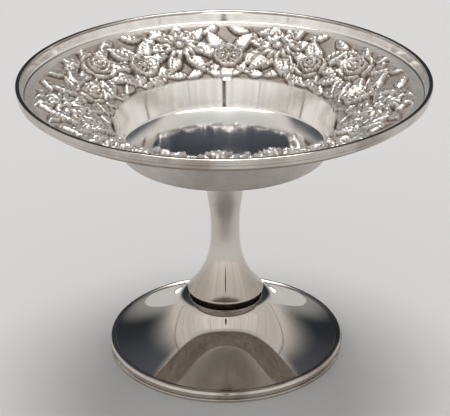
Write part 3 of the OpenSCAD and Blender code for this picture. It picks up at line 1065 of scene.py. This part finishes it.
FILMED_METALLIC = 0.25
TURNING = 1.0
TURNING_ROTATION = 0.25


def silver(name, clean, dull, film, roughness, ripple, turned_look=0.0, mapped=False, painted_low_shade=None):
    """Silver with a dull film in patches, fine wear and a slightly uneven sheet. turned_look spreads its
    reflections across fine turning marks, and mapped adds the film, brown and matting that the points carry
    with lines chased in the ground. The last argument, as (from height, to height, share), adds film
    towards the second height: painted shade that darkens the piece there."""
    material, n, inputs = new_material(name, 1.0)
    position = n.add("ShaderNodeTexCoord").outputs["Object"]
    patches = n.noise(position, *PATCHES)
    specks = n.noise(position, *SPECKS)
    wear = n.noise(position, *WEAR)
    specked = n.ramp(specks, *SPECK_RANGE, 0.0, film * SPECK_SHARE)
    share = n.plus(n.ramp(patches, *PATCH_RANGE, 0.0, film), specked)
    rough = n.ramp(wear, *WEAR_RANGE, roughness, roughness * WORN_ROUGHNESS)
    waves = n.times(n.noise(position, *UNEVEN), ripple)
    relief = n.plus(waves, n.times(n.noise(position, *GRAIN), GRAIN_DEPTH))
    if mapped:
        filmed, matted = n.carried("film"), n.carried("matt")
        share = n.plus(n.times(share, n.ramp(filmed, *FILM_RANGE)),
                       n.times(filmed, n.ramp(patches, *PATCHED_FILM)), clamp=True)
        rough = n.plus(rough, matted)
        swirl = n.math("ABSOLUTE", n.minus(n.noise(position, *SWIRLS), 0.5))
        chased = n.times(n.ramp(swirl, SWIRL_LINE, 0.0), n.ramp(matted, *SWIRL_MATT_RANGE))
        relief = n.minus(relief, n.times(chased, SWIRL_DEPTH))
        browned = n.times(n.carried("brown"), n.ramp(wear, *WORN_BROWN))
        browned = n.plus(browned, n.times(chased, SWIRL_BROWN), clamp=True)
        n.link(n.ramp(share, 0.0, 1.0, 1.0, FILMED_METALLIC), inputs["Metallic"])
    # Painted shade: film added towards the second height darkens the piece there.
    if painted_low_shade:
        split = n.add("ShaderNodeSeparateXYZ")
        n.link(position, split.inputs[0])
        start, stop, most = painted_low_shade
        share = n.plus(share, n.ramp(split.outputs["Z"], start, stop, 0.0, most), clamp=True)
    colour = n.mix(share, clean, dull)
    if mapped:
        colour = n.mix(browned, colour, BROWN)
    n.link(colour, inputs["Base Color"])
    n.link(rough, inputs["Roughness"])
    n.link(n.bump(relief, MM), inputs["Normal"])
    if turned_look:
        inputs["Anisotropic"].default_value = turned_look
        inputs["Anisotropic Rotation"].default_value = TURNING_ROTATION
        tangent = n.add("ShaderNodeTangent", direction_type="RADIAL", axis="Z").outputs["Tangent"]
        n.link(tangent, inputs["Tangent"])
    return material


# Noises of the inner pieces' metal, with the ranges that count, and the height of its tool marks in metres
TONES = (120.0, 4.0, 0.6)
TONE_RANGE = (0.35, 0.7)
ROUGH_RANGE = (0.3, 0.7)
ROUGHEST = 1.5
TOOLING = (1500.0, 3.0)
TOOLING_DISTANCE = 0.0004


def metal(name, light, dark, roughness):
    """A dull metal in two tones."""
    material, n, inputs = new_material(name, 1.0)
    position = n.add("ShaderNodeTexCoord").outputs["Object"]
    tones = n.noise(position, *TONES)
    n.link(n.mix(n.ramp(tones, *TONE_RANGE), light, dark), inputs["Base Color"])
    n.link(n.ramp(tones, *ROUGH_RANGE, roughness, roughness * ROUGHEST), inputs["Roughness"])
    n.link(n.bump(n.noise(position, *TOOLING), TOOLING_DISTANCE), inputs["Normal"])
    return material


# Tones of the metals. The stem's lower end is darkened by painted shade, between these heights in metres and
# by this share.
BRIGHT = (0.93, 0.92, 0.90, 1)
GREY = (0.36, 0.318, 0.278, 1)
BROWN = (0.165, 0.117, 0.083, 1)
STEM_TONE = (0.66, 0.625, 0.57, 1)
FOOT_TONE = (0.65, 0.615, 0.565, 1)
WIRE_TONE = (0.62, 0.585, 0.54, 1)
STEM_PAINTED_SHADE = (0.042, 0.028, 0.3)
PLAIN_TONES = ((0.80, 0.78, 0.74, 1), (0.55, 0.50, 0.42, 1))
# Near-black tones of the locating collar: painted shade, so that it shows as the dark seam under the stem's
# lip.
SEAM_SHADE_TONES = ((0.045, 0.033, 0.022, 1), (0.02, 0.015, 0.012, 1))
BRASS_TONES = ((0.72, 0.53, 0.26, 1), (0.48, 0.33, 0.15, 1))
chased_silver = silver("chased_silver", BRIGHT, GREY, film=0.12, roughness=0.035, ripple=0.02,
                       turned_look=TURNING, mapped=True)
# The stem's silver carries painted shade towards its lower end.
stem_silver = silver("stem_silver", STEM_TONE, BROWN, film=0.25, roughness=0.06, ripple=0.02,
                     turned_look=TURNING, painted_low_shade=STEM_PAINTED_SHADE)
foot_silver = silver("foot_silver", FOOT_TONE, BROWN, film=0.10, roughness=0.04, ripple=0.04)
wire_silver = silver("silver_wire", WIRE_TONE, BROWN, film=0.7, roughness=0.10, ripple=0.1)
plain_silver = metal("plain_silver", *PLAIN_TONES, roughness=0.28)
dark_brass = metal("dark_brass", *SEAM_SHADE_TONES, roughness=0.42)
turned_brass = metal("turned_brass", *BRASS_TONES, roughness=0.26)

# Pieces, and the node, slot and material of each
bowl = build_bowl()
rim_wire = turned("rim_wire_moulded", rim_outline(), PLAIN_SEGMENTS, RIM_SHARP)
stem = turned("stem_polished", stem_outline(), STEM_SEGMENTS)
foot = turned("foot_polished", foot_outline(), PLAIN_SEGMENTS)
foot_wire = turned("foot_wire_moulded", foot_wire_outline(), PLAIN_SEGMENTS)
silver_pieces = [
    (bowl, "bowl", "chased_silver", chased_silver),
    (rim_wire, "rim_wire", "silver_wire", wire_silver),
    (stem, "stem", "polished_silver", stem_silver),
    (foot, "foot", "polished_silver", foot_silver),
    (foot_wire, "foot_wire", "silver_wire", wire_silver)]
for piece, node, slot, material in silver_pieces:
    piece.data.materials.append(material)
    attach(piece, BODY)
    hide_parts(node)

# The locating collar's near-black finish is painted shade for the dark seam between stem and foot.
inner_finishes = {"bowl_seat": plain_silver, "stud_washer": plain_silver, "locating_collar": dark_brass,
                  "tie_stud": turned_brass, "stud_nut": turned_brass}
for node, material in inner_finishes.items():
    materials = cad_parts[node].data.materials
    materials.clear()
    materials.append(material)

# Floor, in metres
FLOOR_HALF = 2.5
FLOOR_TONE = (0.60, 0.605, 0.615, 1)
FLOOR_ROUGHNESS = 0.9
FLOOR_SHEEN = 0.1


def build_floor():
    corners = np.array([(-1, -1, 0), (1, -1, 0), (1, 1, 0), (-1, 1, 0)]) * FLOOR_HALF
    floor = new_piece("floor", corners, [(0, 1, 2, 3)])
    material, _, inputs = new_material("pale_floor", 0.0)
    inputs["Roughness"].default_value = FLOOR_ROUGHNESS
    inputs["Specular IOR Level"].default_value = FLOOR_SHEEN
    inputs["Base Color"].default_value = FLOOR_TONE
    floor.data.materials.append(material)


build_floor()

# Light: a warm pale tent round the object, open and dark behind it, with one broad soft lamp overhead.
# Azimuth runs from +Y towards +X and elevation up from the floor, both in degrees, and y is a direction's
# part along +Y. A range runs from where an effect starts to where it is full.
SIDE_TENT = (0.74, 0.71, 0.68, 1)
FRONT_TENT = (0.95, 0.92, 0.885, 1)
FRONT_Y = (0.1, -0.7)
FOLDS = (9.0, 3.0, 0.6)
FOLD_RANGE = (0.35, 0.65)
FOLD_SHARE = 0.36
FOLD_TONE = (0.5, 0.47, 0.44, 1)
SEAMS = (-64, 57, 142, -142)
SEAM_WIDTH = 1.4
SEAM_ELEVATION = (76.0, 60.0)
SEAM_SHARE = 0.55
SEAM_TONE = (0.08, 0.06, 0.05, 1)
NOT_QUITE_ONE = 1.0001

# The opening behind the object: its sides lean, it is grey near the floor, and its top droops sideways
DARK_LOW = (0.03, 0.037, 0.045, 1)
DARK_HIGH = (0.10, 0.107, 0.13, 1)
GREY_LOW = (0.33, 0.33, 0.325, 1)
GREY_HIGH = (0.50, 0.50, 0.505, 1)
LEFT_AZIMUTH = (-46.0, -20.0)
LEFT_LEAN = 0.55
RIGHT_AZIMUTH = (42.0, 20.0)
RIGHT_LEAN = 0.42
DARK_ELEVATION = (18.0, 56.0)
GREY_LOW_ELEVATION = (18.0, 1.0)
GREY_HIGH_ELEVATION = (39.0, 46.0)
TOP_DROOP = 0.4
OPENING_ELEVATION = (60.0, 52.0)

# The slit that the camera looks through, an upright oval, and the tent over the camera
SLIT_HALF_X = 0.04
SLIT_MIDDLE = 26.0
SLIT_HALF = 22.0
SLIT_EDGE = (1.2, 0.6)
SLIT_Y = (0.0, -0.2)
SLIT_TONE = (0.03, 0.03, 0.035, 1)
CAMERA_SIDE_Y = (0.1, -0.05)
GREY_TENT = (0.55, 0.55, 0.55, 1)
GREY_TENT_ELEVATION = (53.0, 58.0)
TOP_TENT = (1.15, 1.13, 1.11, 1)
TOP_TENT_ELEVATION = (83.0, 86.0)

LAMP = (8.6, 8.5, 8.35, 1)
LAMP_TILT = math.radians(20)
LAMP_RADIUS = math.radians(16)
LAMP_EDGE = (1.08, 0.92)
BACKDROP = (0.70, 0.70, 0.695, 1)


def build_world():
    world = bpy.data.worlds.new("tent")
    bpy.context.scene.world = world
    world.use_nodes = True
    n = Nodes(world.node_tree)
    direction = n.add("ShaderNodeTexCoord").outputs["Generated"]
    split = n.add("ShaderNodeSeparateXYZ")
    n.link(direction, split.inputs[0])
    x, y, z = split.outputs
    azimuth = n.times(n.math("ARCTAN2", x, y), math.degrees(1))
    elevation = n.times(n.math("ARCSINE", z), math.degrees(1))

    colour = n.mix(n.ramp(y, *FRONT_Y), SIDE_TENT, FRONT_TENT)
    level = n.math("SQRT", n.minus(NOT_QUITE_ONE, n.times(z, z)))
    around = n.add("ShaderNodeCombineXYZ")
    n.link(n.math("DIVIDE", x, level), around.inputs[0])
    n.link(n.math("DIVIDE", y, level), around.inputs[1])
    folds = n.ramp(n.noise(around.outputs[0], *FOLDS), *FOLD_RANGE)
    colour = n.mix(n.times(folds, FOLD_SHARE), colour, FOLD_TONE)
    for seam in SEAMS:
        line = n.ramp(n.math("ABSOLUTE", n.minus(azimuth, seam)), SEAM_WIDTH, 0.0)
        share = n.times(line, n.ramp(elevation, *SEAM_ELEVATION))
        colour = n.mix(n.times(share, SEAM_SHARE), colour, SEAM_TONE)

    left = n.plus(azimuth, n.times(elevation, LEFT_LEAN))
    right = n.minus(azimuth, n.times(elevation, RIGHT_LEAN))
    across = n.times(n.ramp(left, *LEFT_AZIMUTH), n.ramp(right, *RIGHT_AZIMUTH))
    dark = n.mix(n.ramp(elevation, *DARK_ELEVATION), DARK_LOW, DARK_HIGH)
    dark = n.mix(n.ramp(elevation, *GREY_LOW_ELEVATION), dark, GREY_LOW)
    top = n.minus(elevation, n.times(n.math("ABSOLUTE", azimuth), TOP_DROOP))
    dark = n.mix(n.ramp(top, *GREY_HIGH_ELEVATION), dark, GREY_HIGH)
    colour = n.mix(n.times(across, n.ramp(elevation, *OPENING_ELEVATION)), colour, dark)

    slit_across = n.math("POWER", n.times(x, 1 / SLIT_HALF_X), 2.0)
    slit_up = n.math("POWER", n.times(n.minus(elevation, SLIT_MIDDLE), 1 / SLIT_HALF), 2.0)
    share = n.times(n.ramp(n.plus(slit_across, slit_up), *SLIT_EDGE), n.ramp(y, *SLIT_Y))
    colour = n.mix(share, colour, SLIT_TONE)
    camera_side = n.ramp(y, *CAMERA_SIDE_Y)
    colour = n.mix(n.times(n.ramp(elevation, *GREY_TENT_ELEVATION), camera_side), colour, GREY_TENT)
    colour = n.mix(n.times(n.ramp(elevation, *TOP_TENT_ELEVATION), camera_side), colour, TOP_TENT)

    toward_lamp = n.plus(n.times(y, math.sin(LAMP_TILT)), n.times(z, math.cos(LAMP_TILT)))
    lamp = n.ramp(toward_lamp, *[math.cos(LAMP_RADIUS * edge) for edge in LAMP_EDGE])
    colour = n.mix(lamp, colour, LAMP)
    colour = n.mix(n.add("ShaderNodeLightPath").outputs["Is Camera Ray"], colour, BACKDROP)
    background = n.add("ShaderNodeBackground")
    n.link(colour, background.inputs["Color"])
    n.link(background.outputs[0], n.add("ShaderNodeOutputWorld").inputs["Surface"])


build_world()

# Camera, in metres
CAMERA_PLACE = Vector((0, -0.5156, 0.30843))
CAMERA_PITCH = math.radians(25.88)
CAMERA_ROLL = math.radians(-0.4)
LENS = 120
SENSOR = 36


def build_camera():
    right = Vector((1, 0, 0))
    ahead = Vector((0, math.cos(CAMERA_PITCH), -math.sin(CAMERA_PITCH)))
    up = Vector((0, math.sin(CAMERA_PITCH), math.cos(CAMERA_PITCH)))
    tilted_right = math.cos(CAMERA_ROLL) * right + math.sin(CAMERA_ROLL) * up
    tilted_up = -math.sin(CAMERA_ROLL) * right + math.cos(CAMERA_ROLL) * up
    camera = bpy.data.objects.new("camera", bpy.data.cameras.new("camera"))
    camera.data.lens = LENS
    camera.data.sensor_width = SENSOR
    camera.matrix_world = Matrix.Translation(CAMERA_PLACE) @ Matrix(
        (tilted_right, tilted_up, -ahead)).transposed().to_4x4()
    bpy.context.scene.collection.objects.link(camera)
    bpy.context.scene.camera = camera


build_camera()
bpy.context.scene.view_settings.view_transform = "Standard"
